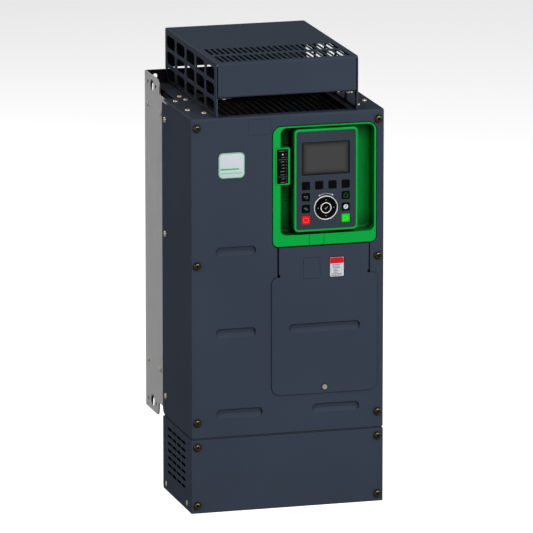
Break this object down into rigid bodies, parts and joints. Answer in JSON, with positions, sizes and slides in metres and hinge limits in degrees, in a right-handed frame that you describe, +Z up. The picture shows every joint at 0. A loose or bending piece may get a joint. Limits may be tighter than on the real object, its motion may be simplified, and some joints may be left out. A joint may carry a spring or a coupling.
{
  "type": "variable frequency drive",
  "caption": "Wall-hung motor drive: dark sheet-metal covers on a galvanised chassis, vented hood, cable box, green bezel with plug-in keypad.",
  "frame": {"origin": "centre of the four wall fixing holes, on the wall plane", "axes": "+Z up, +Y into the wall (the front faces -Y), +X to the right seen from the front"},
  "size_m": [0.3262, 0.3247, 0.7496],
  "materials": {
    "cover_paint": "fine textured dark blue-grey powder coat",
    "galvanised_steel": "galvanised sheet, dull spangle",
    "black_sheet": "black coated sheet",
    "green_plastic": "bright green moulded plastic, satin",
    "keypad_face": "dark blue-grey moulded plastic",
    "display_glass": "dark display lens",
    "black_plastic": "black moulded plastic",
    "key_black": "black silicone keycap",
    "key_red": "red silicone keycap",
    "key_green": "green silicone keycap",
    "white_plastic": "pale plastic",
    "led_lens": "grey translucent lens",
    "brass": "machined brass",
    "screw_bronze": "yellow-passivated steel",
    "rivet_metal": "pale chromated aluminium",
    "label_white": "laminated label",
    "aluminium": "extruded aluminium",
    "circuit_board": "solder-masked board",
    "copper": "copper bar",
    "capacitor_sleeve": "shrink-sleeved can",
    "terminal_plastic": "green terminal moulding",
    "laminated_core": "varnished laminated core and winding"
  },
  "bodies": {
    "chassis": {"wall_plate": "black_sheet", "side_plate_right": "galvanised_steel", "side_plate_left": "galvanised_steel", "top_plate": "black_sheet", "bottom_plate": "galvanised_steel", "front_rails": "galvanised_steel", "mounting_panel": "galvanised_steel", "front_cover": "cover_paint", "top_grille": "black_plastic", "hood_top": "cover_paint", "hood_side_right": "cover_paint", "hood_side_left": "cover_paint", "box_cover": "cover_paint", "box_tray": "galvanised_steel", "gland_plate": "galvanised_steel", "cable_glands": "brass", "gland_nuts": "brass", "cover_screws": "screw_bronze", "side_screws": "rivet_metal", "rivets": "rivet_metal", "keypad_bezel": "green_plastic", "indicator_panel": "black_plastic", "status_leds": "led_lens", "port_cover": "green_plastic", "keypad_socket": "black_plastic", "badge": "label_white", "heat_sink": "aluminium", "fan_frames": "black_plastic", "power_modules": "black_plastic", "power_board": "circuit_board", "capacitors": "capacitor_sleeve", "control_board": "circuit_board", "control_terminals": "terminal_plastic", "busbars": "copper", "power_terminals": "black_plastic", "dc_choke": "laminated_core"},
    "keypad": {"keypad_shell": "green_plastic", "keypad_face": "keypad_face", "display_window": "display_glass", "lcd_module": "black_plastic", "keypad_board": "circuit_board", "keypad_plug": "black_plastic", "wheel_trim": "white_plastic"},
    "access_cover": {"access_cover": "cover_paint", "info_label": "label_white"},
    "access_cover_screw": {"access_cover_screw": "rivet_metal"},
    "nav_wheel": {"nav_wheel": "key_black"},
    "ok_button": {"ok_button": "key_black"},
    "fan_rotor_left": {"fan_rotor_left": "black_plastic"},
    "fan_rotor_right": {"fan_rotor_right": "black_plastic"},
    "function_key_1": {"function_key_1": "key_black"},
    "function_key_2": {"function_key_2": "key_black"},
    "function_key_3": {"function_key_3": "key_black"},
    "function_key_4": {"function_key_4": "key_black"},
    "escape_key": {"escape_key": "key_black"},
    "local_remote_key": {"local_remote_key": "key_black"},
    "stop_key": {"stop_key": "key_red"},
    "home_key": {"home_key": "key_black"},
    "info_key": {"info_key": "key_black"},
    "run_key": {"run_key": "key_green"}
  },
  "joints": [
    {"name": "keypad_unplug", "type": "slide", "parent": "chassis", "child": "keypad", "axis": [0, -1, 0], "range_m": [0, 0.05]},
    {"name": "access_cover_hinge", "type": "hinge", "parent": "chassis", "child": "access_cover", "pos_m": [0, -0.31885, 0.03875], "axis": [-1, 0, 0], "range_deg": [0, 40]},
    {"name": "access_cover_fastener", "type": "hinge", "parent": "access_cover", "child": "access_cover_screw", "pos_m": [0.0612, -0.3197, -0.1937], "axis": [0, 1, 0], "range_deg": [0, 90]},
    {"name": "nav_wheel_turn", "type": "hinge", "parent": "keypad", "child": "nav_wheel", "pos_m": [0.0618, -0.323, 0.1021], "axis": [0, 1, 0], "continuous": true},
    {"name": "ok_button_press", "type": "slide", "parent": "keypad", "child": "ok_button", "axis": [0, 1, 0], "range_m": [0, 0.0008]},
    {"name": "fan_left_spin", "type": "hinge", "parent": "chassis", "child": "fan_rotor_left", "pos_m": [-0.062, -0.068, -0.2405], "axis": [0, 0, 1], "continuous": true},
    {"name": "fan_right_spin", "type": "hinge", "parent": "chassis", "child": "fan_rotor_right", "pos_m": [0.062, -0.068, -0.2405], "axis": [0, 0, 1], "continuous": true},
    {"name": "function_key_1_press", "type": "slide", "parent": "keypad", "child": "function_key_1", "axis": [0, 1, 0], "range_m": [0, 0.0008]},
    {"name": "function_key_2_press", "type": "slide", "parent": "keypad", "child": "function_key_2", "axis": [0, 1, 0], "range_m": [0, 0.0008]},
    {"name": "function_key_3_press", "type": "slide", "parent": "keypad", "child": "function_key_3", "axis": [0, 1, 0], "range_m": [0, 0.0008]},
    {"name": "function_key_4_press", "type": "slide", "parent": "keypad", "child": "function_key_4", "axis": [0, 1, 0], "range_m": [0, 0.0008]},
    {"name": "escape_key_press", "type": "slide", "parent": "keypad", "child": "escape_key", "axis": [0, 1, 0], "range_m": [0, 0.0008]},
    {"name": "local_remote_key_press", "type": "slide", "parent": "keypad", "child": "local_remote_key", "axis": [0, 1, 0], "range_m": [0, 0.0008]},
    {"name": "stop_key_press", "type": "slide", "parent": "keypad", "child": "stop_key", "axis": [0, 1, 0], "range_m": [0, 0.0008]},
    {"name": "home_key_press", "type": "slide", "parent": "keypad", "child": "home_key", "axis": [0, 1, 0], "range_m": [0, 0.0008]},
    {"name": "info_key_press", "type": "slide", "parent": "keypad", "child": "info_key", "axis": [0, 1, 0], "range_m": [0, 0.0008]},
    {"name": "run_key_press", "type": "slide", "parent": "keypad", "child": "run_key", "axis": [0, 1, 0], "range_m": [0, 0.0008]}
  ]
}
